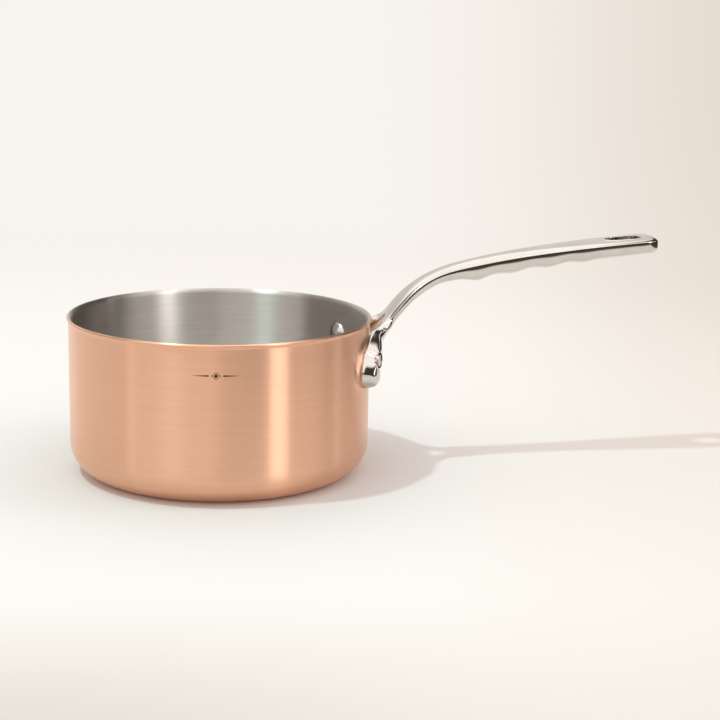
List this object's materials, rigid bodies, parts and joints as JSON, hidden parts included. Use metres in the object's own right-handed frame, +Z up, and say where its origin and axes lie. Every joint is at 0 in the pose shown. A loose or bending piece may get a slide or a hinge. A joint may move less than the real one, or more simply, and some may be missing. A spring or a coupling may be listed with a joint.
{
  "type": "saucepan",
  "caption": "Straight-sided copper saucepan lined with steel, with a long forked cast handle riveted to its wall and a hanging hole at the tail.",
  "frame": {"origin": "centre of the base, on the plane the pan stands on", "axes": "+Z up along the pan's axis, +X out along the handle, +Y to the left of someone looking out along the handle"},
  "size_m": [0.4037, 0.202, 0.1553],
  "materials": {
    "copper": "polished, with fine turned lines round the wall",
    "lining": "brushed round the wall",
    "handle": "polished casting",
    "rivet": "polished"
  },
  "bodies": {
    "root": {"copper_body": "copper", "steel_lining": "lining", "handle": "handle", "rivet_left": "rivet", "rivet_right": "rivet"}
  },
  "joints": []
}
